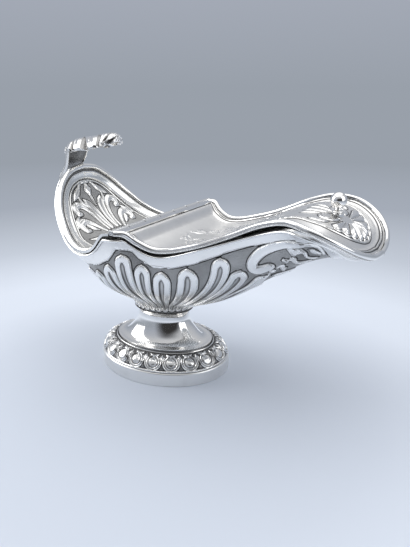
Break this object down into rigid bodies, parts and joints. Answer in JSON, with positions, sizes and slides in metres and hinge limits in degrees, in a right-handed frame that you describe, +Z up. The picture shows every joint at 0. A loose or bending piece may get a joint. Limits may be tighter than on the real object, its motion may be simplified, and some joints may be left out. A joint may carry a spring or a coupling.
{
  "type": "incense boat",
  "caption": "Silver incense boat on an oval pedestal foot, with a fixed raised rear cover, a hinged lid with a ball knob and a cast leaf handle.",
  "frame": {"origin": "on the surface the boat stands on, under the middle of its overall length and width", "axes": "+X along the boat towards the tip of the hinged lid, +Y across it, +Z up"},
  "size_m": [0.1794, 0.0902, 0.1226],
  "materials": {
    "polished_silver": "bright polished silver with soft tarnish in the hollows",
    "satin_silver": "softly worn satin silver",
    "chased_silver": "chased silver with a dark oxidised ground",
    "wire_silver": "bright half-round wire and small fittings"
  },
  "bodies": {
    "boat": {"foot_rim": "satin_silver", "foot_frieze": "chased_silver", "foot_stem": "polished_silver", "foot_bolt": "wire_silver", "foot_washer": "satin_silver", "foot_nut": "satin_silver", "bowl": "satin_silver", "bowl_lip_wire": "wire_silver", "leaf_handle": "polished_silver", "rear_cover": "chased_silver", "rear_cover_wire": "wire_silver", "hinge_pin": "satin_silver", "hinge_knuckle_1": "wire_silver", "hinge_knuckle_3": "wire_silver", "hinge_knuckle_5": "wire_silver", "hinge_knuckle_7": "wire_silver"},
    "lid": {"lid": "polished_silver", "lid_wire": "wire_silver", "lid_hinge_strip": "polished_silver", "knob_collar": "wire_silver", "knob": "polished_silver", "knob_washer": "satin_silver", "knob_nut": "satin_silver", "hinge_knuckle_2": "wire_silver", "hinge_knuckle_4": "wire_silver", "hinge_knuckle_6": "wire_silver"}
  },
  "joints": [
    {"name": "lid_hinge", "type": "hinge", "parent": "boat", "child": "lid", "pos_m": [-0.02085, 0, 0.083], "axis": [0, -1, 0], "range_deg": [0, 100]}
  ]
}
